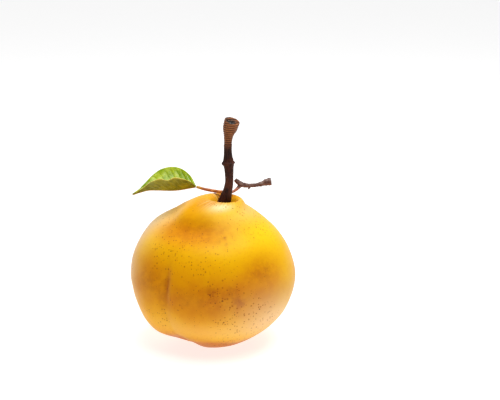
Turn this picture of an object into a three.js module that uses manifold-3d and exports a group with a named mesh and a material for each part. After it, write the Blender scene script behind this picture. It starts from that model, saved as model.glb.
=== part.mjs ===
// A quince as picked: the fruit with its woody stalk, a forked side twig and one folded leaf,
// and at the blossom end its dried sepals and stamens.
// Millimetres, +Z up. The fruit stands on a flat ring round its blossom end. The origin is the
// point of the table under its middle, and azimuths run from the front (-Y) towards +X.
import * as THREE from "three";
import { mergeVertices } from "three/addons/utils/BufferGeometryUtils.js";
import Module from "manifold-3d";

const wasm = await Module();
wasm.setup();

// ---- Driving dimensions ----
const fruitRadius = 42.3; // half the width across the belly
const fruitHeight = 76; // resting ring to the crest round the stalk hollow
const gap = 0.3; // clearance between pieces that grow out of one another
const leafThickness = 0.5;
const sepalThickness = 0.45;
const sepalCount = 5;
const stamenCount = 14;

const { degToRad, radToDeg, euclideanModulo, smoothstep } = THREE.MathUtils;
const at = (x, y, z) => new THREE.Vector3(x, y, z);

// A bell curve: 1 at nought, falling off over the spread.
function bell(offset, spread) {
  return Math.exp(-0.5 * (offset / spread) ** 2);
}

// Degrees from one azimuth to another, the short way round.
function turn(from, to) {
  return euclideanModulo(to - from + 180, 360) - 180;
}

// A smooth run of numbers, spaced evenly over shares from 0 to 1.
function runOf(values) {
  const curve = new THREE.SplineCurve(values.map((value, i) => new THREE.Vector2(i, value)));
  return (share) => curve.getPoint(share).y;
}

// Moves every vertex of a geometry, by a function that changes the point it is given.
function reshape(geometry, move) {
  const { position, normal } = geometry.attributes;
  const point = at(0, 0, 0);
  const outward = at(0, 0, 0);
  for (let i = 0; i < position.count; i++) {
    point.fromBufferAttribute(position, i);
    outward.fromBufferAttribute(normal, i);
    move(point, outward);
    position.setXYZ(i, point.x, point.y, point.z);
  }
  return geometry;
}

// Overlapping geometries made one closed body.
function joined(geometries) {
  const solids = geometries.map((geometry) => {
    const bare = new THREE.BufferGeometry();
    bare.setAttribute("position", geometry.attributes.position);
    bare.setIndex(geometry.index);
    const merged = mergeVertices(bare, 1e-4);
    const vertProperties = merged.attributes.position.array;
    const triVerts = new Uint32Array(merged.index.array);
    return new wasm.Manifold(new wasm.Mesh({ numProp: 3, vertProperties, triVerts }));
  });
  const mesh = wasm.Manifold.union(solids).getMesh();
  const whole = new THREE.BufferGeometry();
  whole.setAttribute("position", new THREE.BufferAttribute(mesh.vertProperties, 3));
  whole.setIndex(new THREE.BufferAttribute(mesh.triVerts, 1));
  whole.computeVertexNormals();
  return whole;
}

// ---- Fruit ----
// Outline from the floor of the stalk socket, over the crest and down the outside to the
// blossom end, as shares of fruitRadius and fruitHeight.
const outline = [
  [0.0, 0.885],
  [0.06, 0.885],
  [0.108, 0.885],
  [0.112, 0.92],
  [0.118, 0.95],
  [0.145, 0.976],
  [0.175, 0.993],
  [0.22, 1.0],
  [0.295, 0.986],
  [0.385, 0.955],
  [0.5, 0.905],
  [0.64, 0.832],
  [0.78, 0.755],
  [0.885, 0.668],
  [0.96, 0.572],
  [1.0, 0.48],
  [0.99, 0.4],
  [0.953, 0.325],
  [0.89, 0.252],
  [0.8, 0.18],
  [0.675, 0.112],
  [0.53, 0.055],
  [0.4, 0.015],
  [0.3, -0.004],
  [0.22, 0.008],
  [0.17, 0.038],
  [0.15, 0.075],
  [0.125, 0.108],
  [0.09, 0.12],
  [0.045, 0.123],
  [0.0, 0.123],
];
const outlineSteps = 75;
const azimuthSteps = 72;
const socketFloor = 0.885 * fruitHeight;
const basinFloor = 0.123 * fruitHeight;
const middle = 0.5; // share of the height from which latitudes are measured
// Lobes and hollows of the skin: where each is and how far it spreads, in degrees, and its
// rise in millimetres.
const lobes = [
  { name: "left shoulder", azimuth: -118, latitude: 38, across: 26, along: 13, rise: 3.0 },
  { name: "left flank", azimuth: -92, latitude: 14, across: 28, along: 12, rise: 1.6 },
  { name: "back left crest", azimuth: -115, latitude: 72, across: 25, along: 5, rise: 0.6 },
  { name: "right crest", azimuth: 85, latitude: 68, across: 45, along: 7, rise: -1.4 },
  { name: "back right shoulder", azimuth: 138, latitude: 36, across: 20, along: 14, rise: 1.3 },
  { name: "back groove", azimuth: 177, latitude: 16, across: 9, along: 26, rise: -0.9 },
  { name: "hollow left of the neck", azimuth: -90, latitude: 55, across: 20, along: 7, rise: -2.8 },
  { name: "hollow under the neck", azimuth: -22, latitude: 50, across: 30, along: 8, rise: -2.8 },
  { name: "front shelf", azimuth: -5, latitude: 27, across: 45, along: 9, rise: 1.0 },
  { name: "side crease", azimuth: -34, latitude: 5, across: 5, along: 13, rise: -1.3 },
  { name: "lower crease", azimuth: -38, latitude: -28, across: 9, along: 20, rise: -1.4 },
  { name: "foot of the crease", azimuth: -46, latitude: -58, across: 12, along: 10, rise: -2.8 },
  { name: "lower left lobe", azimuth: -62, latitude: -38, across: 18, along: 14, rise: 2.2 },
];
const stalkFoot = at(5.5, -0.5, socketFloor + gap);
const leanFrom = 57; // latitudes between which the top leans over to the stalk
const leanTo = 80;

function riseAt(azimuth, latitude) {
  let rise = 0;
  for (const lobe of lobes) {
    const across = bell(turn(lobe.azimuth, azimuth), lobe.across);
    rise += lobe.rise * across * bell(latitude - lobe.latitude, lobe.along);
  }
  return rise;
}

function fruitGeometry() {
  const curve = new THREE.SplineCurve(
    outline.map(([r, z]) => new THREE.Vector2(r * fruitRadius, z * fruitHeight)),
  );
  const points = curve.getPoints(outlineSteps).reverse();
  points[0].x = 0;
  points.at(-1).x = 0;
  const round = new THREE.LatheGeometry(points, azimuthSteps).rotateX(Math.PI / 2);
  return reshape(round, (point, outward) => {
    const radius = Math.hypot(point.x, point.y);
    const azimuth = radToDeg(Math.atan2(point.x, -point.y));
    const latitude = radToDeg(Math.atan2(point.z - middle * fruitHeight, radius));
    const lean = smoothstep(latitude, leanFrom, leanTo);
    point.addScaledVector(outward, riseAt(azimuth, latitude));
    point.x += lean * stalkFoot.x;
    point.y += lean * stalkFoot.y;
    point.z = Math.max(point.z, 0);
  });
}

// ---- Limbs: round wood and stems along a curve ----
// Each knot is [x, y, z, radius]. The sections are turned to the upward vector, and a pit sinks
// the middle of the far end by that share of the length.
function limbGeometry(knots, { upward = at(0, 0, 1), sides = 12, steps = 24, pit = 0 } = {}) {
  const path = new THREE.CatmullRomCurve3(knots.map(([x, y, z]) => at(x, y, z)));
  const radiusAt = runOf(knots.map(([, , , radius]) => radius));
  const points = [new THREE.Vector2(0, 0)];
  for (let i = 0; i <= steps; i++) points.push(new THREE.Vector2(1, i / steps));
  if (pit > 0) {
    points.push(new THREE.Vector2(0.84, 1));
    points.push(new THREE.Vector2(0.7, 1 - pit));
  }
  points.push(new THREE.Vector2(0, 1 - pit));
  const tangent = at(0, 0, 0);
  const side = at(0, 0, 0);
  const other = at(0, 0, 0);
  return reshape(new THREE.LatheGeometry(points, sides), (point) => {
    const { x, y: share, z } = point;
    const radius = radiusAt(share);
    path.getTangent(share, tangent);
    side.crossVectors(upward, tangent).normalize();
    other.crossVectors(side, tangent);
    path.getPoint(share, point);
    point.addScaledVector(side, x * radius).addScaledVector(other, z * radius);
  });
}

// ---- Stalk: a foot in the socket, a node ring half way up and a flared, cut end ----
const stalkKnots = [
  [5.1, -0.4, stalkFoot.z, 3.8],
  [5.1, -0.4, 70.4, 3.8],
  [5.3, -0.4, 73.1, 3.6],
  [6.2, -0.5, 76.2, 2.95],
  [7.2, -0.5, 79.2, 2.4],
  [7.85, -0.6, 82.4, 2.2],
  [8.1, -0.6, 86.0, 2.1],
  [8.1, -0.5, 90.2, 2.3],
  [7.9, -0.5, 92.6, 2.5],
  [7.7, -0.4, 94.1, 3.25],
  [7.65, -0.4, 95.3, 2.65],
  [7.55, -0.4, 97.6, 2.2],
  [7.5, -0.4, 101.2, 1.92],
  [7.6, -0.4, 105.0, 1.96],
  [7.9, -0.5, 108.6, 2.5],
  [8.6, -1.2, 112.1, 3.6],
  [9.8, -2.4, 116.1, 3.9],
];
const stalkShape = { upward: at(0, -1, 0), sides: 24, steps: 64, pit: 0.03 };

// ---- Side twig: a shoot from the back of the stalk that joins an old forked twig ----
const shootKnots = [
  [7.0, 2.9, 77.4, 1.7],
  [7.3, 3.9, 77.3, 1.4],
  [8.2, 4.9, 77.2, 0.85],
  [9.6, 5.8, 77.5, 0.68],
  [11.3, 6.6, 78.3, 0.75],
  [12.8, 7.5, 79.5, 0.95],
  [14.0, 8.2, 80.7, 1.1],
];
const oldWoodKnots = [
  [11.1, 8.0, 83.5, 0.95],
  [12.3, 8.0, 82.4, 1.1],
  [14.0, 8.3, 81.0, 1.4],
  [16.2, 9.0, 80.3, 1.15],
  [18.8, 10.0, 79.9, 1.0],
  [21.8, 10.5, 79.95, 1.0],
  [24.8, 11.0, 80.5, 1.25],
  [27.4, 11.4, 81.3, 1.7],
  [29.6, 11.7, 81.6, 1.85],
];
const budKnots = [
  [18.5, 9.9, 79.7, 0.75],
  [18.3, 9.8, 78.8, 0.6],
  [17.9, 9.7, 77.9, 0.2],
];

function twigGeometry() {
  const shoot = limbGeometry(shootKnots);
  const oldWood = limbGeometry(oldWoodKnots, { steps: 36 });
  const bud = limbGeometry(budKnots, { upward: at(0, 1, 0), steps: 8 });
  return joined([shoot, oldWood, bud]);
}

// ---- Leaf ----
const petioleKnots = [
  [5.0, 4.6, 77.5, 1.05],
  [3.1, 6.0, 77.5, 0.9],
  [-1.0, 7.9, 77.7, 0.86],
  [-5.1, 8.5, 78.4, 0.8],
  [-8.85, 8.1, 79.6, 0.74],
];
const keelKnots = [
  [-9.3, 8.0, 79.7],
  [-13.3, 7.5, 79.1],
  [-17.3, 7.0, 78.5],
  [-21.3, 6.5, 78.3],
  [-25.4, 6.0, 78.5],
  [-29.4, 5.6, 78.7],
  [-33.4, 5.2, 78.7],
  [-37.5, 4.7, 77.8],
  [-41.5, 4.0, 76.6],
];
const keel = new THREE.CatmullRomCurve3(keelKnots.map((knot) => at(...knot)));
// Width of the blade from base to tip, as shares of the widest.
const leafWidth = runOf([0.05, 0.54, 0.82, 0.97, 1.0, 0.96, 0.84, 0.62, 0.36, 0.14, 0.03]);
// The two halves stand up from the midrib like a folded sheet. Each leans away from upright by
// its spread, in degrees, and bows outwards between the midrib and the margin.
const nearHalf = { width: 8.9, spread: 30, bow: 0.8 };
const farHalf = { width: 14, spread: 45, bow: 1.2 };
const marginWave = { along: 0.45, over: 0.055, depth: 1.8 }; // the dip in the near margin
const leafSegments = { along: 32, across: 12 };

// A closed sheet whose middle surface is surfaceAt(along, across, point), for along from 0 to 1
// and across from -1 to 1.
function sheetGeometry(surfaceAt, thickness, segments) {
  const step = 0.01;
  const ahead = at(0, 0, 0);
  const behind = at(0, 0, 0);
  const left = at(0, 0, 0);
  const right = at(0, 0, 0);
  const flat = new THREE.BoxGeometry(1, 2, thickness, segments.along, segments.across, 1);
  return reshape(flat, (point) => {
    const along = point.x + 0.5;
    const across = Math.sign(point.y) * Math.abs(point.y) ** 1.3;
    const level = point.z;
    surfaceAt(Math.min(along + step, 1), across, ahead);
    surfaceAt(Math.max(along - step, 0), across, behind);
    surfaceAt(along, Math.min(across + step, 1), left);
    surfaceAt(along, Math.max(across - step, -1), right);
    const outward = ahead.sub(behind).cross(left.sub(right)).normalize();
    surfaceAt(along, across, point);
    point.addScaledVector(outward, level);
  });
}

function bladeAt(along, across, point) {
  const half = across < 0 ? nearHalf : farHalf;
  const spread = degToRad(half.spread);
  const share = Math.abs(across);
  const width = leafWidth(along);
  const bow = 4 * half.bow * width * share * (1 - share);
  let reach = half.width * width * share;
  if (across < 0) {
    reach -= marginWave.depth * bell(along - marginWave.along, marginWave.over) * share ** 2;
  }
  keel.getPoint(along, point);
  point.y += Math.sign(across) * (Math.sin(spread) * reach + Math.cos(spread) * bow);
  point.z += Math.cos(spread) * reach - Math.sin(spread) * bow;
}

// ---- Blossom end: five dried sepals in the basin, round a tuft of stamens ----
// Middle line of a sepal, as distance from the fruit's axis and height.
const sepalKnots = [
  [2.9, basinFloor - gap - sepalThickness / 2],
  [4.2, 8.1],
  [5.0, 6.4],
  [5.3, 4.6],
  [4.9, 2.9],
  [3.9, 1.7],
];
const sepalLine = new THREE.SplineCurve(sepalKnots.map(([r, z]) => new THREE.Vector2(r, z)));
const sepalWidth = runOf([1.6, 2.1, 2.2, 1.9, 1.2, 0.3]);
const sepalSegments = { along: 14, across: 6 };
const tuftRadius = 2.2;
const tuftTop = basinFloor - gap;

function sepalGeometry(azimuth) {
  const sepalAt = (along, across, point) => {
    const { x: radius, y: height } = sepalLine.getPoint(along);
    const angle = degToRad(azimuth) + (across * sepalWidth(along)) / radius;
    point.set(radius * Math.sin(angle), -radius * Math.cos(angle), height);
  };
  return sheetGeometry(sepalAt, sepalThickness, sepalSegments);
}

// Stamens standing on a small button, their anthers splayed out at the tips.
function tuftGeometry() {
  const button = new THREE.CylinderGeometry(tuftRadius, 0.7 * tuftRadius, 0.9, 24);
  button.rotateX(Math.PI / 2).translate(0, 0, tuftTop - 0.45);
  const stamens = [];
  for (let i = 0; i < stamenCount; i++) {
    const share = Math.sqrt((i + 0.5) / stamenCount);
    const angle = i * 2.4;
    const length = 4.4 + 0.7 * Math.sin(5 * i);
    const knots = [
      [1.5, 0.5, 0.3],
      [1.7, 0.5 + 0.4 * length, 0.2],
      [2.0, 0.5 + 0.8 * length, 0.2],
      [2.3, 0.5 + 0.92 * length, 0.4],
      [2.35, 0.5 + length, 0.3],
    ].map(([out, down, thick]) => {
      const radius = out * share;
      return [radius * Math.sin(angle), -radius * Math.cos(angle), tuftTop - down, thick];
    });
    stamens.push(limbGeometry(knots, { upward: at(0, 1, 0), sides: 6, steps: 8 }));
  }
  return joined([button, ...stamens]);
}

// ---- The whole quince ----
const materials = {
  skin: new THREE.MeshStandardMaterial({ color: 0xf2b21a, roughness: 0.5 }),
  stalk: new THREE.MeshStandardMaterial({ color: 0x4a2a1c, roughness: 0.75 }),
  twig: new THREE.MeshStandardMaterial({ color: 0x7a4a38, roughness: 0.7 }),
  petiole: new THREE.MeshStandardMaterial({ color: 0xa8501e, roughness: 0.6 }),
  leaf: new THREE.MeshStandardMaterial({ color: 0x6f9a1e, roughness: 0.5 }),
  calyx: new THREE.MeshStandardMaterial({ color: 0x5b4630, roughness: 0.85 }),
};

const quince = new THREE.Group();

function addPiece(name, geometry, material) {
  const piece = new THREE.Mesh(geometry, material.clone());
  piece.name = name;
  quince.add(piece);
}

addPiece("quince_fruit", fruitGeometry(), materials.skin);
addPiece("fruit_stalk", limbGeometry(stalkKnots, stalkShape), materials.stalk);
addPiece("forked_twig", twigGeometry(), materials.twig);
addPiece("leaf_petiole", limbGeometry(petioleKnots), materials.petiole);
addPiece("leaf_blade", sheetGeometry(bladeAt, leafThickness, leafSegments), materials.leaf);
for (let i = 0; i < sepalCount; i++) {
  addPiece("sepal_" + (i + 1), sepalGeometry((360 / sepalCount) * i), materials.calyx);
}
addPiece("stamen_tuft", tuftGeometry(), materials.calyx);

// The table point under the middle of the whole is the origin.
const bounds = new THREE.Box3().setFromObject(quince, true);
const centre = bounds.getCenter(at(0, 0, 0));
quince.position.set(-centre.x, -centre.y, 0);

export default quince;
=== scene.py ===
import math

import bmesh
import bpy
from mathutils import Matrix, Vector, noise


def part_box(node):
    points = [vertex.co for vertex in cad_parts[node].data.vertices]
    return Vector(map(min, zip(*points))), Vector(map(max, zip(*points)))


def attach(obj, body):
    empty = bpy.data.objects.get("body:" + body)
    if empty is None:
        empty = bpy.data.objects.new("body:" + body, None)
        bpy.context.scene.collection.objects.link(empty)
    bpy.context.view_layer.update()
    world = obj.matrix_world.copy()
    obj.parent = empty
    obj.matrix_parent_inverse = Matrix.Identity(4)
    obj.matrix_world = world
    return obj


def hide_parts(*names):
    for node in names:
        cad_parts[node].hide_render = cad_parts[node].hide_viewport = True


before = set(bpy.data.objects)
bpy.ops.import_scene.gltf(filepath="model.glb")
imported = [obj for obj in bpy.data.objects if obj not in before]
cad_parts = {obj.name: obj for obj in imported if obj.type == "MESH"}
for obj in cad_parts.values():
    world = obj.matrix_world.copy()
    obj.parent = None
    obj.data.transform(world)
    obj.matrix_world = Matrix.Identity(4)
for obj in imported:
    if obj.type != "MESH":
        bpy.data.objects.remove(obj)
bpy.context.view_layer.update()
mm = 0.001

# small helpers


def bell(offset, spread):
    return math.exp(-0.5 * (offset / spread) ** 2)


def turn(fromAngle, toAngle):  # degrees, the short way round
    return (toAngle - fromAngle + 180) % 360 - 180


def ease(value, low, high):
    share = min(max((value - low) / (high - low), 0), 1)
    return share * share * (3 - 2 * share)


def curveAt(knots, share):  # a smooth curve through evenly spaced knots
    last = len(knots) - 1
    place = min(max(share, 0), 1) * last
    i = min(int(place), last - 1)
    t = place - i
    rows = [knots[max(i - 1, 0)], knots[i], knots[i + 1], knots[min(i + 2, last)]]
    out = []
    for a, b, c, d in zip(*rows):
        out.append(b + 0.5 * t * (c - a + t * (2 * a - 5 * b + 4 * c - d + t * (3 * (b - c) + d - a))))
    return out


def runAt(values, share):
    return curveAt([(v,) for v in values], share)[0]


def fitTo(bm, node):  # moves and stretches a mesh on to the place of a CAD node
    low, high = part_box(node)
    xs, ys, zs = zip(*[v.co for v in bm.verts])
    ownLow = Vector((min(xs), min(ys), min(zs)))
    ownHigh = Vector((max(xs), max(ys), max(zs)))
    sizes = [(high[i] - low[i]) / (ownHigh[i] - ownLow[i]) for i in range(3)]
    bmesh.ops.translate(bm, vec=-ownLow, verts=bm.verts)
    bmesh.ops.scale(bm, vec=sizes, verts=bm.verts)
    bmesh.ops.translate(bm, vec=low, verts=bm.verts)


def roughen(bm, amount, size, seed, keep=None):  # pushes the skin in and out a little
    bm.normal_update()
    moves = []
    for v in bm.verts:
        spot = v.co / size + Vector((seed, 0, 0))
        push = amount * (noise.noise(spot) + 0.5 * noise.noise(spot * 2.3))
        moves.append(v.normal * push * (keep(v.co) if keep else 1))
    for v, move in zip(bm.verts, moves):
        v.co += move


def makePiece(name, bm, materials, nodes):
    mesh = bpy.data.meshes.new(name)
    bm.to_mesh(mesh)
    bm.free()
    for p in mesh.polygons:
        p.use_smooth = True
    piece = bpy.data.objects.new(name, mesh)
    bpy.context.scene.collection.objects.link(piece)
    for m in materials:
        mesh.materials.append(m)
    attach(piece, "root")
    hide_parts(*nodes)
    print("made", name, len(mesh.polygons), "faces")
    return piece


# shader helpers


def startMaterial(name):
    material = bpy.data.materials.new(name)
    material.use_nodes = True
    tree = material.node_tree
    return material, tree, tree.nodes["Principled BSDF"]


def plug(tree, socket, value):
    if isinstance(value, bpy.types.NodeSocket):
        tree.links.new(value, socket)
    elif isinstance(value, tuple) and len(value) == 3 and socket.type == "RGBA":
        socket.default_value = (*value, 1)
    else:
        socket.default_value = value


def objectPlace(tree, scale=(1, 1, 1)):
    coords = tree.nodes.new("ShaderNodeTexCoord")
    mapping = tree.nodes.new("ShaderNodeMapping")
    mapping.inputs["Scale"].default_value = scale
    tree.links.new(coords.outputs["Object"], mapping.inputs["Vector"])
    return mapping.outputs["Vector"]


def grain(tree, place, scale, detail=3, rough=0.5, warp=0):
    tex = tree.nodes.new("ShaderNodeTexNoise")
    plug(tree, tex.inputs["Vector"], place)
    tex.inputs["Scale"].default_value = scale
    tex.inputs["Detail"].default_value = detail
    tex.inputs["Roughness"].default_value = rough
    tex.inputs["Distortion"].default_value = warp
    return tex.outputs["Fac"]


def spotsNear(tree, place, scale, loose=1):
    tex = tree.nodes.new("ShaderNodeTexVoronoi")
    plug(tree, tex.inputs["Vector"], place)
    tex.inputs["Scale"].default_value = scale
    tex.inputs["Randomness"].default_value = loose
    return tex.outputs["Distance"], tex.outputs["Color"]


def fromRange(tree, value, low, high, newLow=0.0, newHigh=1.0):
    ranger = tree.nodes.new("ShaderNodeMapRange")
    ranger.interpolation_type = "SMOOTHSTEP"
    plug(tree, ranger.inputs["Value"], value)
    for key, number in zip(("From Min", "From Max", "To Min", "To Max"), (low, high, newLow, newHigh)):
        plug(tree, ranger.inputs[key], number)
    return ranger.outputs["Result"]


def reckon(tree, operation, a, b=0.0):
    sums = tree.nodes.new("ShaderNodeMath")
    sums.operation = operation
    plug(tree, sums.inputs[0], a)
    plug(tree, sums.inputs[1], b)
    return sums.outputs[0]


def blendColors(tree, share, a, b, how="MIX"):
    mixer = tree.nodes.new("ShaderNodeMix")
    mixer.data_type = "RGBA"
    mixer.blend_type = how
    plug(tree, mixer.inputs["Factor"], share)
    plug(tree, mixer.inputs["A"], a)
    plug(tree, mixer.inputs["B"], b)
    return mixer.outputs["Result"]


def painted(tree, name):  # a value painted on the mesh
    reader = tree.nodes.new("ShaderNodeAttribute")
    reader.attribute_name = name
    return reader.outputs["Fac"]


def relief(tree, shader, height, distance, strength=1.0):
    bump = tree.nodes.new("ShaderNodeBump")
    bump.inputs["Strength"].default_value = strength
    bump.inputs["Distance"].default_value = distance
    plug(tree, bump.inputs["Height"], height)
    tree.links.new(bump.outputs["Normal"], shader.inputs["Normal"])


def splitRGB(tree, color):
    split = tree.nodes.new("ShaderNodeSeparateColor")
    plug(tree, split.inputs["Color"], color)
    return split.outputs


# the fruit

fruit = {
    "radius": 42.3,
    "height": 76,
    "outline": [
        (0.0, 0.885), (0.06, 0.885), (0.108, 0.885), (0.112, 0.92), (0.118, 0.95), (0.145, 0.976),
        (0.175, 0.993), (0.22, 1.0), (0.295, 0.986), (0.385, 0.955), (0.5, 0.905), (0.64, 0.832),
        (0.78, 0.755), (0.885, 0.668), (0.96, 0.572), (1.0, 0.48), (0.99, 0.4), (0.953, 0.325),
        (0.89, 0.252), (0.8, 0.18), (0.675, 0.112), (0.53, 0.055), (0.4, 0.015), (0.3, -0.004),
        (0.22, 0.008), (0.17, 0.038), (0.15, 0.075), (0.125, 0.108), (0.09, 0.12), (0.045, 0.123),
        (0.0, 0.123),
    ],
    "rings": 220,
    "sides": 240,
    # lobes and hollows: azimuth, latitude, spread across, spread along, rise in mm
    "lobes": [
        (-118, 38, 26, 13, 3.0), (-92, 14, 28, 12, 1.6), (-115, 72, 25, 5, 0.6), (85, 68, 45, 7, -1.4),
        (138, 36, 20, 14, 1.3), (177, 16, 9, 26, -0.9),
        (-90, 55, 20, 7, -2.8), (-22, 50, 30, 8, -2.8), (-5, 27, 45, 9, 1.0), (-34, 5, 5, 13, -1.3),
        (-38, -28, 9, 20, -1.4), (-46, -58, 12, 10, -2.8), (-62, -38, 18, 14, 2.2),
    ],
    "stalkFoot": (5.5, -0.5),
    "lean": (57, 80),
    # sharper marks: azimuth, latitude, spread across, spread along, rise in mm
    "creases": [
        (-33, 3, 1.3, 9, -0.55), (-29.5, 2, 2.5, 9, 0.3), (-36, -24, 2.2, 10, -0.35),
        (-48, -66, 5, 5, -0.5), (12, 20, 16, 6, 0.25), (30, -8, 14, 10, -0.2),
    ],
    # painted patches (paler yellow tint with painted light on top, waxy fuzz with painted reflection,
    # painted highlight, orange blush with painted shade, brown bruising with painted shade):
    # azimuth, latitude, spread across, spread along, strength
    # paler yellow tint with painted light: the upper shoulders and front shelf drawn lighter where the top
    # light falls
    "lemonsAndLight": [
        (50, 40, 32, 13, 0.9), (20, 66, 30, 7, 0.8), (0, 28, 40, 5, 0.25), (-60, 28, 18, 6, 0.3),
        (-130, 45, 50, 12, 0.5), (140, 40, 40, 14, 0.5),
    ],
    # waxy fuzz with painted reflection: a pale peach veil where the floor is reflected low down, and pale
    # rims at the sides
    "bloomsAndReflections": [
        (48, -24, 20, 13, 0.65), (12, -32, 22, 6, 0.14), (-30, -30, 22, 7, 0.12), (-94, -2, 14, 30, 0.9),
        (-104, 36, 18, 10, 0.35), (150, -30, 40, 12, 0.2), (75, 62, 30, 8, 0.3),
    ],
    # painted highlight: the pale crescent below the front lip of the stalk hollow, and a pale patch on the
    # left shoulder
    "paintedHighlights": [
        (4, 70.5, 18, 3.0, 0.85), (-104, 42, 14, 7, 0.25),
    ],
    # orange blush with painted shade: darker orange under the neck, in the band below the middle and round
    # the bottom edge
    "flushesAndShade": [
        (-56, 0, 20, 11, 0.5), (-15, 0, 26, 11, 0.5), (14, -2, 24, 12, 0.5), (40, 9, 14, 14, 0.5),
        (-22, 48, 34, 11, 0.75), (-62, 46, 16, 9, 0.3), (-42, -56, 30, 11, 1.1), (10, -59, 50, 8, 0.9),
        (150, -10, 50, 14, 0.6), (-50, 16, 12, 8, 0.3), (-40, 74, 30, 5, 0.4), (0, -60, 400, 7, 0.4),
        (-10, -16, 26, 8, 0.35),
    ],
    # brown bruising and small spots, with painted shade in the hollow under the neck and along the front
    # crease
    "bruisesAndShade": [
        (-16, 46, 28, 8, 0.35), (13.6, 1.8, 2.4, 2.2, 0.8), (0, 1.5, 3.6, 3, 0.55), (19, -6, 3.4, 3, 0.6),
        (-2, -4, 14, 4, 0.25), (38, 12, 8, 5, 0.45), (-48, 4, 9, 6, 0.3), (-33, 5, 1.4, 7, 0.55),
        (-36, -8, 3, 9, 0.3), (14, 42, 1.2, 0.9, 0.9), (7, 38, 1.0, 0.9, 0.8), (13, 35, 1.1, 0.9, 0.9),
        (-18, -6, 1.8, 1.6, 0.5), (120, 15, 5, 3, 0.4), (170, -14, 8, 4, 0.4), (-150, 2, 5, 3, 0.4),
        (-34, -46, 14, 5, 0.3),
    ],
}


def sumOf(marks, azimuth, latitude):
    total = 0
    for markAzimuth, markLatitude, across, along, amount in marks:
        total += amount * bell(turn(markAzimuth, azimuth), across) * bell(latitude - markLatitude, along)
    return total


def polar(co):
    radius = math.hypot(co.x, co.y)
    azimuth = math.degrees(math.atan2(co.x, -co.y))
    latitude = math.degrees(math.atan2(co.z - 0.5 * fruit["height"] * mm, radius))
    return radius, azimuth, latitude


def fruitMesh():
    bm = bmesh.new()
    rings = fruit["rings"]
    size = Vector((fruit["radius"], fruit["height"])) * mm
    line = []
    for i in range(rings + 1):
        r, z = curveAt(fruit["outline"], 1 - i / rings)
        r = 0 if i in (0, rings) else r
        line.append(bm.verts.new((0, -r * size.x, z * size.y)))
    edges = [bm.edges.new(pair) for pair in zip(line, line[1:])]
    bmesh.ops.spin(bm, geom=line + edges, cent=(0, 0, 0), axis=(0, 0, 1), angle=2 * math.pi,
                   steps=fruit["sides"], use_merge=True, use_duplicate=False)
    bmesh.ops.remove_doubles(bm, verts=bm.verts, dist=1e-7)
    bmesh.ops.recalc_face_normals(bm, faces=bm.faces)
    bm.normal_update()
    footX, footY = fruit["stalkFoot"]
    marks = []
    for v in bm.verts:
        radius, azimuth, latitude = polar(v.co)
        marks.append((azimuth, latitude))
        v.co += v.normal * sumOf(fruit["lobes"], azimuth, latitude) * mm
        lean = ease(latitude, *fruit["lean"])
        v.co.x += lean * footX * mm
        v.co.y += lean * footY * mm
        v.co.z = max(v.co.z, 0)
    fitTo(bm, "quince_fruit")
    return bm, marks


def addFruit(material):
    bm, marks = fruitMesh()
    bm.normal_update()
    flushAndShade = bm.verts.layers.float.new("flushAndShade")
    bruiseAndShade = bm.verts.layers.float.new("bruiseAndShade")
    lemonAndLight = bm.verts.layers.float.new("lemonAndLight")
    bloomAndReflection = bm.verts.layers.float.new("bloomAndReflection")
    # the pale layer holds painted highlight
    pale = bm.verts.layers.float.new("pale")
    centre = Vector((fruit["stalkFoot"][0] * mm, fruit["stalkFoot"][1] * mm, 0))
    moves = []
    for v, (azimuth, latitude) in zip(bm.verts, marks):
        v[flushAndShade] = sumOf(fruit["flushesAndShade"], azimuth, latitude)
        v[bruiseAndShade] = sumOf(fruit["bruisesAndShade"], azimuth, latitude)
        v[lemonAndLight] = min(sumOf(fruit["lemonsAndLight"], azimuth, latitude), 1)
        v[bloomAndReflection] = min(sumOf(fruit["bloomsAndReflections"], azimuth, latitude), 1)
        v[pale] = min(sumOf(fruit["paintedHighlights"], azimuth, latitude), 1)
        rise = sumOf(fruit["creases"], azimuth, latitude)
        # wrinkles that run out of the stalk hollow
        fromStalk = (v.co - centre).xy.length / mm
        if latitude > 60:
            around = math.radians(azimuth)
            wave = noise.noise(Vector((math.cos(around) * 6, math.sin(around) * 6, 3)))
            fold = math.sin(around * 42 + 5 * wave)
            where = bell(fromStalk - 9.5, 2.8)
            side = 0.12 + 0.88 * max(bell(turn(-35, azimuth), 26), bell(turn(-150, azimuth), 25))
            rise += 0.2 * fold * where * side
            # painted highlight on the wrinkle crests and painted shade in their furrows
            v[pale] += 0.45 * max(fold, 0) * where * side
            v[flushAndShade] += 0.7 * max(-fold, 0) * where * side
        if latitude < -70:  # puckers round the basin
            fold = math.sin(math.radians(azimuth) * 15 + 2 * noise.noise(v.co * 60))
            rise += 0.22 * fold * bell((v.co.xy.length / mm) - 7.6, 1.6)
        rise += 0.3 * noise.noise(v.co * 55) + 0.12 * noise.noise(v.co * 140)
        if v.co.z < 0.0004:
            rise = 0
        moves.append(v.normal * rise * mm)
    for v, move in zip(bm.verts, moves):
        v.co += move
        v.co.z = max(v.co.z, 0)
    return makePiece("quinceSkin", bm, [material], ["quince_fruit"])


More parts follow.
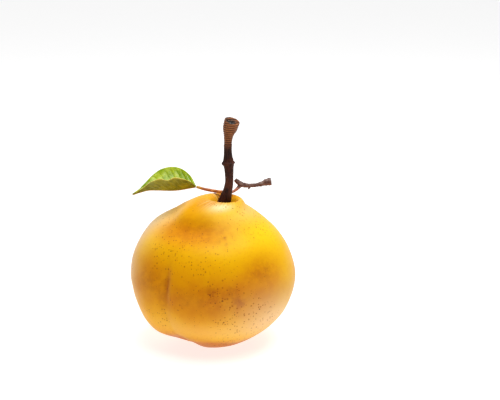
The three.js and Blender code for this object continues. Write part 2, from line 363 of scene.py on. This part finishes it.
def skinMaterial():
    material, tree, shader = startMaterial("quinceSkin")
    place = objectPlace(tree)
    clouds = fromRange(tree, grain(tree, place, 22, 3, 0.5, 0.3), 0.35, 0.68)
    mottle = grain(tree, place, 130, 4, 0.6)
    speckle = grain(tree, place, 800, 3, 0.65)
    golden = blendColors(tree, clouds, (0.92, 0.43, 0.001), (0.95, 0.52, 0.001))
    # paler yellow tint with painted light on the upper side
    color = blendColors(tree, painted(tree, "lemonAndLight"), golden, (0.95, 0.62, 0.008))
    # orange blush with painted shade in the hollows, the lower band and the bottom edge
    flushAndShade = reckon(tree, "MULTIPLY", painted(tree, "flushAndShade"), fromRange(tree, mottle, 0.3, 0.7, 0.8, 1.1))
    color = blendColors(tree, flushAndShade, color, (0.64, 0.19, 0.001))
    brownish = fromRange(tree, grain(tree, place, 260, 5, 0.7), 0.38, 0.6, 0.3, 1.1)
    # brown bruising and spots, with painted shade in the hollow and the crease
    bruiseAndShade = reckon(tree, "MULTIPLY", painted(tree, "bruiseAndShade"), brownish)
    color = blendColors(tree, bruiseAndShade, color, (0.42, 0.10, 0.003))
    fine = reckon(tree, "MULTIPLY", fromRange(tree, speckle, 0.5, 0.7), 0.28)
    color = blendColors(tree, fine, color, (0.74, 0.24, 0.003))
    # painted reflection: pale peach veil of waxy fuzz on the lower side and the rims
    color = blendColors(tree, painted(tree, "bloomAndReflection"), color, (0.93, 0.62, 0.36))
    # painted highlight: pale crescent below the stalk hollow and on the left shoulder
    color = blendColors(tree, painted(tree, "pale"), color, (0.96, 0.84, 0.42))
    # pores: fine brown dots and a few larger ones, thickest where the orange blush with its painted shade
    # lies
    thick = fromRange(tree, grain(tree, place, 34, 2, 0.5), 0.38, 0.6, 0.3, 0.9)
    thick = reckon(tree, "ADD", thick, reckon(tree, "MULTIPLY", painted(tree, "flushAndShade"), 0.25))
    near, tint = spotsNear(tree, place, 860)
    wide = reckon(tree, "MULTIPLY", fromRange(tree, splitRGB(tree, tint)[0], 0.25, 1.0, 0.0, 0.42), thick)
    dots = fromRange(tree, reckon(tree, "SUBTRACT", wide, near), -0.02, 0.12)
    color = blendColors(tree, reckon(tree, "MULTIPLY", dots, 0.7), color, (0.4, 0.085, 0.002))
    nearBig, tintBig = spotsNear(tree, place, 360)
    wideBig = fromRange(tree, splitRGB(tree, tintBig)[1], 0.5, 1.0, 0.0, 0.17)
    wideBig = reckon(tree, "MULTIPLY", wideBig, thick)
    dotsBig = fromRange(tree, reckon(tree, "SUBTRACT", wideBig, nearBig), -0.01, 0.05)
    color = blendColors(tree, reckon(tree, "MULTIPLY", dotsBig, 0.85), color, (0.2, 0.04, 0.001))
    pores = reckon(tree, "MAXIMUM", reckon(tree, "MULTIPLY", dots, 0.5), dotsBig)
    plug(tree, shader.inputs["Base Color"], color)
    plug(tree, shader.inputs["Roughness"], fromRange(tree, mottle, 0.3, 0.7, 0.36, 0.44))
    shader.inputs["Specular IOR Level"].default_value = 0.08
    shader.inputs["Sheen Weight"].default_value = 0.04
    shader.inputs["Sheen Roughness"].default_value = 0.3
    shader.inputs["Sheen Tint"].default_value = (1, 0.93, 0.82, 1)
    height = reckon(tree, "SUBTRACT", reckon(tree, "MULTIPLY", mottle, 0.6), pores)
    relief(tree, shader, height, 0.00012, 0.5)
    return material


# the stalk

stalk = {
    "knots": [
        (5.1, -0.4, 67.56, 3.8), (5.1, -0.4, 70.4, 3.8), (5.3, -0.4, 73.1, 3.6), (6.2, -0.5, 76.2, 2.95),
        (7.2, -0.5, 79.2, 2.4), (7.85, -0.6, 82.4, 2.2), (8.1, -0.6, 86.0, 2.1), (8.1, -0.5, 90.2, 2.3),
        (7.9, -0.5, 92.6, 2.5), (7.7, -0.4, 94.1, 3.25), (7.65, -0.4, 95.3, 2.65), (7.55, -0.4, 97.6, 2.2),
        (7.5, -0.4, 101.2, 1.92), (7.6, -0.4, 105.0, 1.96), (7.9, -0.5, 108.6, 2.5), (8.6, -1.2, 112.1, 3.6),
        (9.8, -2.4, 116.1, 3.9),
    ],
    "sides": 64,
    "steps": 360,
    "pit": 0.03,
    "ridges": (103.5, 114.5, 1.15),  # from, to, and apart, in mm
    "upward": (0, -1, 0),
}


def limbMesh(piece, bulge=None):  # a cylinder bent along its knots
    bm = bmesh.new()
    bmesh.ops.create_cone(bm, cap_ends=True, cap_tris=False, segments=piece["sides"],
                          radius1=1, radius2=1, depth=1)
    lengthwise = [e for e in bm.edges if abs(e.verts[0].co.z - e.verts[1].co.z) > 0.5]
    bmesh.ops.subdivide_edges(bm, edges=lengthwise, cuts=piece["steps"] - 1)
    pit = piece.get("pit", 0)
    for end in (-1, 1):
        cap = [f for f in bm.faces if len(f.verts) > 4 and f.normal.z * end > 0.5]
        for inset, sink in ((0.16, 0), (0.14, 1), (0.2, 1.1), (0.2, 0.8)):
            bmesh.ops.inset_region(bm, faces=cap, thickness=inset, depth=0)
            for v in cap[0].verts:
                v.co.z = end * (0.5 - (sink * pit if end > 0 else 0))
        bmesh.ops.poke(bm, faces=cap)
    knots = [Vector(k[:3]) for k in piece["knots"]]
    radii = [k[3] for k in piece["knots"]]
    upward = Vector(piece.get("upward", (0, 0, 1)))
    for v in bm.verts:
        share = v.co.z + 0.5
        path = Vector(curveAt(knots, share))
        ahead = Vector(curveAt(knots, min(share + 0.004, 1)))
        behind = Vector(curveAt(knots, max(share - 0.004, 0)))
        along = (ahead - behind).normalized()
        side = upward.cross(along).normalized()
        other = side.cross(along)
        radius = runAt(radii, share)
        out = math.hypot(v.co.x, v.co.y)
        if bulge and out > 0:
            radius += bulge(share, math.atan2(v.co.y, v.co.x), path, out)
        v.co = path + (side * v.co.x + other * v.co.y) * radius
        v.co *= mm
    bmesh.ops.recalc_face_normals(bm, faces=bm.faces)
    return bm


def stalkBulge(share, angle, path, out):
    if out < 0.99:
        return 0
    low, high, apart = stalk["ridges"]
    wobble = 0.35 * noise.noise(Vector((math.cos(angle) * 1.3, math.sin(angle) * 1.3, path.z * 0.2)))
    height = path.z + wobble + 0.25 * math.sin(angle + 1)
    ridge = 0.5 + 0.5 * math.cos(2 * math.pi * height / apart)
    strong = ease(path.z, low - 2, low + 2) * (1 - ease(path.z, high, high + 1.5))
    extra = 0.17 * (ridge - 0.4) * strong
    rings = ((94.1, 0.45, 0.28), (92.4, 0.5, 0.12), (96.1, 0.4, 0.12), (103, 0.5, 0.12))
    for ringHeight, thick, amount in rings:
        extra += amount * bell(height - ringHeight, thick)
    streak = noise.noise(Vector((math.cos(angle) * 3.2, math.sin(angle) * 3.2, path.z * 0.13)))
    lower = 0.26 + 0.2 * (1 - ease(path.z, 70, 84))
    return extra + lower * streak * (1 - 0.6 * strong)


def addStalk(material):
    bm = limbMesh(stalk, stalkBulge)
    fitTo(bm, "fruit_stalk")
    roughen(bm, 0.06 * mm, 0.7 * mm, 3)
    cutEnd = bm.verts.layers.float.new("cutEnd")
    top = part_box("fruit_stalk")[1].z
    knots = stalk["knots"]
    tip = Vector(knots[-1][:3]) * mm
    back = Vector(knots[-2][:3]) * mm
    along = (tip - back).normalized()
    for v in bm.verts:
        if v.co.z > top - 9 * mm:
            away = v.co - tip
            out = (away - along * away.dot(along)).length / mm
            level = away.dot(along) / mm
            v[cutEnd] = ease(level, -4.5, -3.5) * (1 - ease(out, 2.9, 3.25))
    return makePiece("quinceStalk", bm, [material], ["fruit_stalk"])


def stalkMaterial():
    material, tree, shader = startMaterial("stalkBark")
    place = objectPlace(tree)
    long = objectPlace(tree, (1, 1, 0.18))
    streaks = fromRange(tree, grain(tree, long, 900, 4, 0.65), 0.35, 0.68)
    patches = fromRange(tree, grain(tree, place, 150, 3, 0.6), 0.38, 0.66)
    coords = tree.nodes.new("ShaderNodeSeparateXYZ")
    tree.links.new(place, coords.inputs[0])
    up = coords.outputs["Z"]
    color = blendColors(tree, streaks, (0.012, 0.003, 0.002), (0.06, 0.016, 0.009))
    color = blendColors(tree, reckon(tree, "MULTIPLY", patches, 0.5), color, (0.13, 0.035, 0.016))
    rings = tree.nodes.new("ShaderNodeTexWave")
    rings.wave_type = "BANDS"
    rings.bands_direction = "Z"
    plug(tree, rings.inputs["Vector"], place)
    rings.inputs["Scale"].default_value = 278
    rings.inputs["Distortion"].default_value = 1.2
    rings.inputs["Detail"].default_value = 2
    flare = fromRange(tree, up, 0.101, 0.107)
    tan = blendColors(tree, rings.outputs["Fac"], (0.08, 0.022, 0.008), (0.52, 0.19, 0.06))
    tan = blendColors(tree, reckon(tree, "MULTIPLY", streaks, 0.5), tan, (0.09, 0.03, 0.016))
    color = blendColors(tree, reckon(tree, "MULTIPLY", flare, 0.85), color, tan)
    cut = painted(tree, "cutEnd")
    crumbs = grain(tree, place, 1500, 4, 0.7)
    wood = blendColors(tree, fromRange(tree, crumbs, 0.5, 0.66), (0.003, 0.003, 0.003), (0.26, 0.24, 0.22))
    color = blendColors(tree, cut, color, wood)
    plug(tree, shader.inputs["Base Color"], color)
    plug(tree, shader.inputs["Roughness"], fromRange(tree, streaks, 0, 1, 0.5, 0.7))
    shader.inputs["Specular IOR Level"].default_value = 0.16
    bumps = reckon(tree, "ADD", streaks, reckon(tree, "MULTIPLY", crumbs, 0.6))
    relief(tree, shader, bumps, 0.0002, 0.7)
    return material


# the side twig

shoot = {
    "knots": [
        (7.0, 2.9, 77.4, 1.7), (7.3, 3.9, 77.3, 1.4), (8.2, 4.9, 77.2, 0.85), (9.6, 5.8, 77.5, 0.68),
        (11.3, 6.6, 78.3, 0.75), (12.8, 7.5, 79.5, 0.95), (14.0, 8.2, 80.7, 1.1),
    ],
    "sides": 24,
    "steps": 60,
}
oldWood = {
    "knots": [
        (11.1, 8.0, 83.5, 0.95), (12.3, 8.0, 82.4, 1.1), (14.0, 8.3, 81.0, 1.4), (16.2, 9.0, 80.3, 1.15),
        (18.8, 10.0, 79.9, 1.0), (21.8, 10.5, 79.95, 1.0), (24.8, 11.0, 80.5, 1.25), (27.4, 11.4, 81.3, 1.7),
        (29.6, 11.7, 81.6, 1.85),
    ],
    "sides": 32,
    "steps": 120,
    "pit": 0.012,
}
bud = {
    "knots": [(18.5, 9.9, 79.7, 0.75), (18.3, 9.8, 78.8, 0.6), (17.9, 9.7, 77.9, 0.2)],
    "sides": 16,
    "steps": 16,
    "upward": (0, 1, 0),
}
twigVoxel = 0.13 * mm


def woodBulge(share, angle, path, out):
    if out < 0.99:
        return 0
    rings = 0
    scars = ((0.12, 0.12), (0.36, 0.16), (0.47, 0.1), (0.6, 0.12), (0.72, 0.14), (0.84, 0.2), (0.93, 0.18))
    for ringShare, amount in scars:
        rings += amount * bell(share - ringShare, 0.012)
    return rings + 0.2 * noise.noise(Vector((math.cos(angle) * 1.5, math.sin(angle) * 1.5, path.x * 0.5)))


def addTwig(material):
    bm = bmesh.new()
    for part, bulge in ((shoot, None), (oldWood, woodBulge), (bud, None)):
        limb = limbMesh(part, bulge)
        lump = bpy.data.meshes.new("lump")
        limb.to_mesh(lump)
        limb.free()
        bm.from_mesh(lump)
        bpy.data.meshes.remove(lump)
    mesh = bpy.data.meshes.new("twigLumps")
    bm.to_mesh(mesh)
    bm.free()
    lumps = bpy.data.objects.new("twigLumps", mesh)
    bpy.context.scene.collection.objects.link(lumps)
    fuse = lumps.modifiers.new("fuse", "REMESH")
    fuse.mode = "VOXEL"
    fuse.voxel_size = twigVoxel
    fused = lumps.evaluated_get(bpy.context.evaluated_depsgraph_get())
    bm = bmesh.new()
    bm.from_mesh(fused.to_mesh())
    bpy.data.objects.remove(lumps)
    fitTo(bm, "forked_twig")
    bmesh.ops.smooth_vert(bm, verts=bm.verts, factor=0.5, use_axis_x=True, use_axis_y=True, use_axis_z=True)
    roughen(bm, 0.09 * mm, 0.8 * mm, 11)
    young = bm.verts.layers.float.new("young")
    for v in bm.verts:
        v[young] = 1 - ease(v.co.x + 0.55 * (v.co.z - 0.0775), 0.0128, 0.0148)
    return makePiece("quinceTwig", bm, [material], ["forked_twig"])


def twigMaterial():
    material, tree, shader = startMaterial("twigBark")
    place = objectPlace(tree)
    streaks = fromRange(tree, grain(tree, objectPlace(tree, (0.25, 1, 1)), 1100, 4, 0.65), 0.36, 0.66)
    patches = fromRange(tree, grain(tree, place, 420, 3, 0.6), 0.4, 0.62)
    # painted sheen: bark facing up is drawn paler grey, bark facing down keeps its red-brown
    geometry = tree.nodes.new("ShaderNodeNewGeometry")
    facing = tree.nodes.new("ShaderNodeSeparateXYZ")
    tree.links.new(geometry.outputs["Normal"], facing.inputs[0])
    litFromAbove = fromRange(tree, facing.outputs["Z"], -0.3, 0.7)
    litGrey = blendColors(tree, streaks, (0.09, 0.045, 0.035), (0.30, 0.19, 0.15))
    red = blendColors(tree, streaks, (0.10, 0.03, 0.02), (0.24, 0.085, 0.05))
    color = blendColors(tree, litFromAbove, red, litGrey)
    color = blendColors(tree, reckon(tree, "MULTIPLY", patches, 0.5), color, (0.14, 0.05, 0.035))
    pink = blendColors(tree, patches, (0.56, 0.17, 0.10), (0.68, 0.27, 0.17))
    color = blendColors(tree, painted(tree, "young"), color, pink)
    plug(tree, shader.inputs["Base Color"], color)
    plug(tree, shader.inputs["Roughness"], fromRange(tree, patches, 0, 1, 0.55, 0.75))
    relief(tree, shader, streaks, 0.00015, 0.7)
    return material


# the leaf stem

petiole = {
    "knots": [
        (5.0, 4.6, 77.5, 1.05), (3.1, 6.0, 77.5, 0.9), (-1.0, 7.9, 77.7, 0.86), (-5.1, 8.5, 78.4, 0.8),
        (-8.85, 8.1, 79.6, 0.74),
    ],
    "sides": 28,
    "steps": 110,
}


def petioleBulge(share, angle, path, out):
    if out < 0.99:
        return 0
    groove = -0.16 * bell(turn(90, math.degrees(angle)), 24)
    joint = 0.12 * bell(share - 0.06, 0.02) + 0.08 * bell(share - 0.16, 0.015)
    return groove + joint + 0.07 * noise.noise(Vector((angle, path.x * 0.8, 2)))


def addPetiole(material):
    bm = limbMesh(petiole, petioleBulge)
    fitTo(bm, "leaf_petiole")
    roughen(bm, 0.03 * mm, 0.6 * mm, 5)
    return makePiece("leafStem", bm, [material], ["leaf_petiole"])


def petioleMaterial():
    material, tree, shader = startMaterial("leafStem")
    place = objectPlace(tree, (0.2, 1, 1))
    streaks = fromRange(tree, grain(tree, place, 900, 4, 0.6), 0.36, 0.66)
    coords = tree.nodes.new("ShaderNodeSeparateXYZ")
    tree.links.new(objectPlace(tree), coords.inputs[0])
    color = blendColors(tree, streaks, (0.42, 0.10, 0.012), (0.72, 0.25, 0.04))
    nearLeaf = fromRange(tree, coords.outputs["X"], -0.0045, -0.0085)
    color = blendColors(tree, nearLeaf, color, (0.62, 0.34, 0.02))
    plug(tree, shader.inputs["Base Color"], color)
    shader.inputs["Roughness"].default_value = 0.45
    relief(tree, shader, streaks, 0.0001, 0.5)
    return material


# the leaf

leaf = {
    "keel": [
        (-9.3, 8.0, 79.7), (-13.3, 7.5, 79.1), (-17.3, 7.0, 78.5), (-21.3, 6.5, 78.3), (-25.4, 6.0, 78.5),
        (-29.4, 5.6, 78.7), (-33.4, 5.2, 78.7), (-37.5, 4.7, 77.8), (-41.5, 4.0, 76.6),
    ],
    "widths": [0.05, 0.54, 0.82, 0.97, 1.0, 0.96, 0.84, 0.62, 0.36, 0.14, 0.03],
    "near": (8.9, 30, 0.8),  # width, lean from upright in degrees, bow
    "far": (14, 45, 1.2),
    "dip": (0.45, 0.055, 1.8),
    "along": 150,
    "across": 90,
    "thickness": 0.42,
    "veins": 11,
    "veinSweep": 0.26,
}


def bladeAt(along, across):
    width, lean, bow = leaf["near"] if across < 0 else leaf["far"]
    lean = math.radians(lean)
    share = abs(across)
    breadth = runAt(leaf["widths"], along)
    reach = width * breadth * share
    if across < 0:
        place, over, depth = leaf["dip"]
        reach -= depth * bell(along - place, over) * share ** 2
    bulge = 4 * bow * breadth * share * (1 - share)
    x, y, z = curveAt(leaf["keel"], along)
    sign = math.copysign(1, across) if across else 0
    y += sign * (math.sin(lean) * reach + math.cos(lean) * bulge)
    z += math.cos(lean) * reach - math.sin(lean) * bulge
    return Vector((x, y, z)) * mm


def veinPhase(along, across):
    return (along - leaf["veinSweep"] * abs(across) ** 0.8) * leaf["veins"]


def addLeaf(materials):
    bm = bmesh.new()
    bmesh.ops.create_grid(bm, x_segments=leaf["along"], y_segments=leaf["across"], size=1)
    uv = bm.loops.layers.uv.new("leafMap")
    phase = bm.verts.layers.float.new("veinPhase")
    across = bm.verts.layers.float.new("across")
    for v in bm.verts:
        v[across] = v.co.y
        v[phase] = veinPhase(0.5 + 0.5 * v.co.x, v.co.y)
    for face in bm.faces:
        for loop in face.loops:
            loop[uv].uv = (0.5 + 0.5 * loop.vert.co.x, 0.5 + 0.5 * loop.vert.co.y)
    flat = [(v, 0.5 + 0.5 * v.co.x, v.co.y) for v in bm.verts]
    for v, u, w in flat:
        v.co = bladeAt(u, w)
    bmesh.ops.reverse_faces(bm, faces=bm.faces)
    bm.normal_update()
    # puffed between the veins, sunk along them, with a slightly wavy edge
    for v, u, w in flat:
        share = abs(w)
        puff = abs(math.sin(math.pi * veinPhase(u, w))) ** 0.7
        rise = 0.2 * (puff - 0.5) * ease(share, 0.02, 0.2) * (1 - ease(share, 0.8, 1))
        reach = ease(u, 0, 0.15) * (1 - ease(u, 0.8, 0.95))
        rise += 0.25 * math.sin(u * 31 + 2 * w) * ease(share, 0.6, 1) * reach
        rise -= 0.25 * bell(share, 0.03)
        v.co += v.normal * rise * mm
    fitTo(bm, "leaf_blade")
    piece = makePiece("quinceLeaf", bm, materials, ["leaf_blade"])
    wall = piece.modifiers.new("wall", "SOLIDIFY")
    wall.thickness = leaf["thickness"] * mm
    wall.offset = 0
    wall.material_offset = 1
    wall.material_offset_rim = 2
    return piece


def leafVeins(tree):
    phase = painted(tree, "veinPhase")
    saw = reckon(tree, "FRACT", phase)
    away = reckon(tree, "ABSOLUTE", reckon(tree, "SUBTRACT", saw, 0.5))
    side = fromRange(tree, away, 0.43, 0.5)
    share = reckon(tree, "ABSOLUTE", painted(tree, "across"))
    middle = fromRange(tree, share, 0.05, 0.015)
    return side, middle, share


def leafUpperMaterial():
    material, tree, shader = startMaterial("leafUpper")
    place = objectPlace(tree)
    side, middle = leafVeins(tree)[:2]
    clouds = fromRange(tree, grain(tree, place, 220, 3, 0.6), 0.36, 0.66)
    cells = fromRange(tree, grain(tree, place, 1300, 3, 0.6), 0.4, 0.62)
    color = blendColors(tree, clouds, (0.22, 0.36, 0.002), (0.44, 0.54, 0.006))
    color = blendColors(tree, reckon(tree, "MULTIPLY", cells, 0.35), color, (0.54, 0.62, 0.03))
    color = blendColors(tree, reckon(tree, "MULTIPLY", side, 0.5), color, (0.62, 0.70, 0.18))
    color = blendColors(tree, middle, color, (0.62, 0.55, 0.05))
    plug(tree, shader.inputs["Base Color"], color)
    shader.inputs["Roughness"].default_value = 0.38
    shader.inputs["Specular IOR Level"].default_value = 0.25
    shader.inputs["Coat Weight"].default_value = 0.2
    shader.inputs["Coat Roughness"].default_value = 0.2
    height = reckon(tree, "SUBTRACT", reckon(tree, "MULTIPLY", cells, 0.3), side)
    relief(tree, shader, height, 0.0002, 0.6)
    return material


def leafUnderMaterial():
    material, tree, shader = startMaterial("leafUnder")
    place = objectPlace(tree)
    side, middle, share = leafVeins(tree)
    clouds = fromRange(tree, grain(tree, place, 260, 4, 0.6), 0.36, 0.66)
    # the underside's olive tint, drawn dark as painted shade for the shadow it faces into
    color = blendColors(tree, clouds, (0.17, 0.17, 0.002), (0.34, 0.30, 0.004))
    color = blendColors(tree, reckon(tree, "MULTIPLY", side, 0.45), color, (0.48, 0.42, 0.02))
    edge = fromRange(tree, share, 0.88, 0.99)
    color = blendColors(tree, reckon(tree, "MULTIPLY", edge, 0.7), color, (0.66, 0.52, 0.03))
    color = blendColors(tree, middle, color, (0.60, 0.33, 0.05))
    plug(tree, shader.inputs["Base Color"], color)
    shader.inputs["Roughness"].default_value = 0.5
    relief(tree, shader, side, 0.0002, 0.6)
    return material


def leafEdgeMaterial():
    material, tree, shader = startMaterial("leafEdge")
    place = objectPlace(tree)
    clouds = fromRange(tree, grain(tree, place, 500, 3, 0.6), 0.36, 0.66)
    color = blendColors(tree, clouds, (0.78, 0.60, 0.08), (0.86, 0.76, 0.18))
    plug(tree, shader.inputs["Base Color"], color)
    shader.inputs["Roughness"].default_value = 0.45
    return material


# the blossom end

sepal = {
    "line": [(2.9, 8.83), (4.2, 8.1), (5.0, 6.4), (5.3, 4.6), (4.9, 2.9), (3.9, 1.7)],
    "widths": [1.6, 2.1, 2.2, 1.9, 1.2, 0.3],
    "thickness": 0.34,
    "count": 5,
}
tuft = {"stamens": 14, "top": 9.05, "radius": 2.2}


def addSepal(number, azimuth, material):
    bm = bmesh.new()
    bmesh.ops.create_grid(bm, x_segments=40, y_segments=22, size=1)
    flat = [(v, 0.5 + 0.5 * v.co.x, v.co.y) for v in bm.verts]
    for v, u, w in flat:
        radius, height = curveAt(sepal["line"], u)
        angle = math.radians(azimuth) + w * runAt(sepal["widths"], u) / radius
        curl = 0.5 * w * w * ease(u, 0.3, 1)
        radius -= curl
        v.co = Vector((radius * math.sin(angle), -radius * math.cos(angle), height)) * mm
    bmesh.ops.recalc_face_normals(bm, faces=bm.faces)
    bm.normal_update()
    for v, u, w in flat:
        crinkle = noise.noise(Vector((u * 5, w * 3, number * 7))) * 0.3 + 0.1 * math.sin(w * 9)
        v.co += v.normal * crinkle * mm
    fitTo(bm, "sepal_" + str(number))
    piece = makePiece("driedSepal" + str(number), bm, [material], ["sepal_" + str(number)])
    wall = piece.modifiers.new("wall", "SOLIDIFY")
    wall.thickness = sepal["thickness"] * mm
    wall.offset = 0
    return piece


def addTuft(material):
    bm = bmesh.new()
    radius = tuft["radius"]
    bmesh.ops.create_cone(bm, cap_ends=True, cap_tris=False, segments=32, radius1=0.7 * radius * mm,
                          radius2=radius * mm, depth=0.9 * mm,
                          matrix=Matrix.Translation((0, 0, (tuft["top"] - 0.45) * mm)))
    for i in range(tuft["stamens"]):
        share = math.sqrt((i + 0.5) / tuft["stamens"])
        angle = i * 2.4
        length = 4.4 + 0.7 * math.sin(5 * i)
        knots = []
        steps = ((1.5, 0, 0.3), (1.7, 0.4, 0.2), (2.0, 0.8, 0.2), (2.3, 0.92, 0.4), (2.35, 1, 0.3))
        for out, down, thick in steps:
            knots.append((out * share * math.sin(angle), -out * share * math.cos(angle),
                          tuft["top"] - 0.5 - down * length, thick))
        stamen = limbMesh({"knots": knots, "sides": 10, "steps": 18, "upward": (0, 1, 0)})
        lump = bpy.data.meshes.new("lump")
        stamen.to_mesh(lump)
        stamen.free()
        bm.from_mesh(lump)
        bpy.data.meshes.remove(lump)
    fitTo(bm, "stamen_tuft")
    roughen(bm, 0.05 * mm, 0.5 * mm, 8)
    return makePiece("stamenTuft", bm, [material], ["stamen_tuft"])


def driedMaterial(name, dark, pale):
    material, tree, shader = startMaterial(name)
    place = objectPlace(tree)
    patches = fromRange(tree, grain(tree, place, 500, 4, 0.65), 0.36, 0.66)
    fibres = fromRange(tree, grain(tree, objectPlace(tree, (1, 1, 0.2)), 1600, 3, 0.6), 0.36, 0.66)
    color = blendColors(tree, patches, dark, pale)
    color = blendColors(tree, reckon(tree, "MULTIPLY", fibres, 0.4), color, dark)
    plug(tree, shader.inputs["Base Color"], color)
    shader.inputs["Roughness"].default_value = 0.85
    relief(tree, shader, fibres, 0.0001, 0.7)
    return material


# all the pieces

addFruit(skinMaterial())
addStalk(stalkMaterial())
addTwig(twigMaterial())
addPetiole(petioleMaterial())
addLeaf([leafUpperMaterial(), leafUnderMaterial(), leafEdgeMaterial()])
sepalFinish = driedMaterial("driedSepal", (0.06, 0.035, 0.02), (0.26, 0.18, 0.10))
for i in range(sepal["count"]):
    addSepal(i + 1, 360 / sepal["count"] * i, sepalFinish)
addTuft(driedMaterial("driedStamen", (0.035, 0.02, 0.012), (0.15, 0.09, 0.05)))

# the studio

studio = {
    "aim": (18.99, 0, 74.8),
    "elevation": 14.6,
    "distance": 610,
    "lens": 86.2,
}


def addFloor():
    bm = bmesh.new()
    bmesh.ops.create_grid(bm, x_segments=2, y_segments=2, size=6)
    mesh = bpy.data.meshes.new("floor")
    bm.to_mesh(mesh)
    bm.free()
    floor = bpy.data.objects.new("floor", mesh)
    bpy.context.scene.collection.objects.link(floor)
    material, tree, shader = startMaterial("floor")
    shader.inputs["Base Color"].default_value = (0.5, 0.5, 0.5, 1)
    shader.inputs["Roughness"].default_value = 0.8
    shader.inputs["Emission Color"].default_value = (1, 1, 1, 1)
    shader.inputs["Emission Strength"].default_value = 0.75
    mesh.materials.append(material)


def addPanel(name, place, target, size, power, color=(1, 1, 1)):
    light = bpy.data.lights.new(name, "AREA")
    light.shape = "RECTANGLE"
    light.size, light.size_y = size
    light.energy = power
    light.color = color
    panel = bpy.data.objects.new(name, light)
    bpy.context.scene.collection.objects.link(panel)
    panel.location = place
    panel.rotation_euler = (Vector(target) - Vector(place)).to_track_quat("-Z", "Y").to_euler()


def addWorld(front, back, seen):
    world = bpy.data.worlds.new("studio")
    bpy.context.scene.world = world
    world.use_nodes = True
    tree = world.node_tree
    tree.nodes.clear()
    coords = tree.nodes.new("ShaderNodeTexCoord")
    parts = tree.nodes.new("ShaderNodeSeparateXYZ")
    tree.links.new(coords.outputs["Generated"], parts.inputs[0])
    strength = fromRange(tree, parts.outputs["Y"], 0.0, 0.95, front, back)
    strength = reckon(tree, "MULTIPLY", strength, fromRange(tree, parts.outputs["X"], 0.1, 0.5, 1.0, 0.45))
    room = tree.nodes.new("ShaderNodeBackground")
    tree.links.new(strength, room.inputs["Strength"])
    view = tree.nodes.new("ShaderNodeBackground")
    view.inputs["Strength"].default_value = seen
    path = tree.nodes.new("ShaderNodeLightPath")
    mixer = tree.nodes.new("ShaderNodeMixShader")
    tree.links.new(path.outputs["Is Camera Ray"], mixer.inputs["Fac"])
    tree.links.new(room.outputs[0], mixer.inputs[1])
    tree.links.new(view.outputs[0], mixer.inputs[2])
    output = tree.nodes.new("ShaderNodeOutputWorld")
    tree.links.new(mixer.outputs[0], output.inputs["Surface"])


def addCamera():
    aim = Vector(studio["aim"]) * mm
    tilt = math.radians(studio["elevation"])
    ahead = Vector((0, math.cos(tilt), -math.sin(tilt)))
    data = bpy.data.cameras.new("camera")
    data.lens = studio["lens"]
    data.sensor_width = 36
    camera = bpy.data.objects.new("camera", data)
    bpy.context.scene.collection.objects.link(camera)
    camera.location = aim - ahead * studio["distance"] * mm
    camera.rotation_euler = ahead.to_track_quat("-Z", "Y").to_euler()
    bpy.context.scene.camera = camera


addFloor()
addPanel("topPanel", (0.12, -0.04, 0.8), (0, 0, 0.05), (0.8, 0.6), 8.6)
addWorld(0.12, 1.3, 1.05)
addCamera()
bpy.context.scene.view_settings.view_transform = "Standard"
print("studio ready")
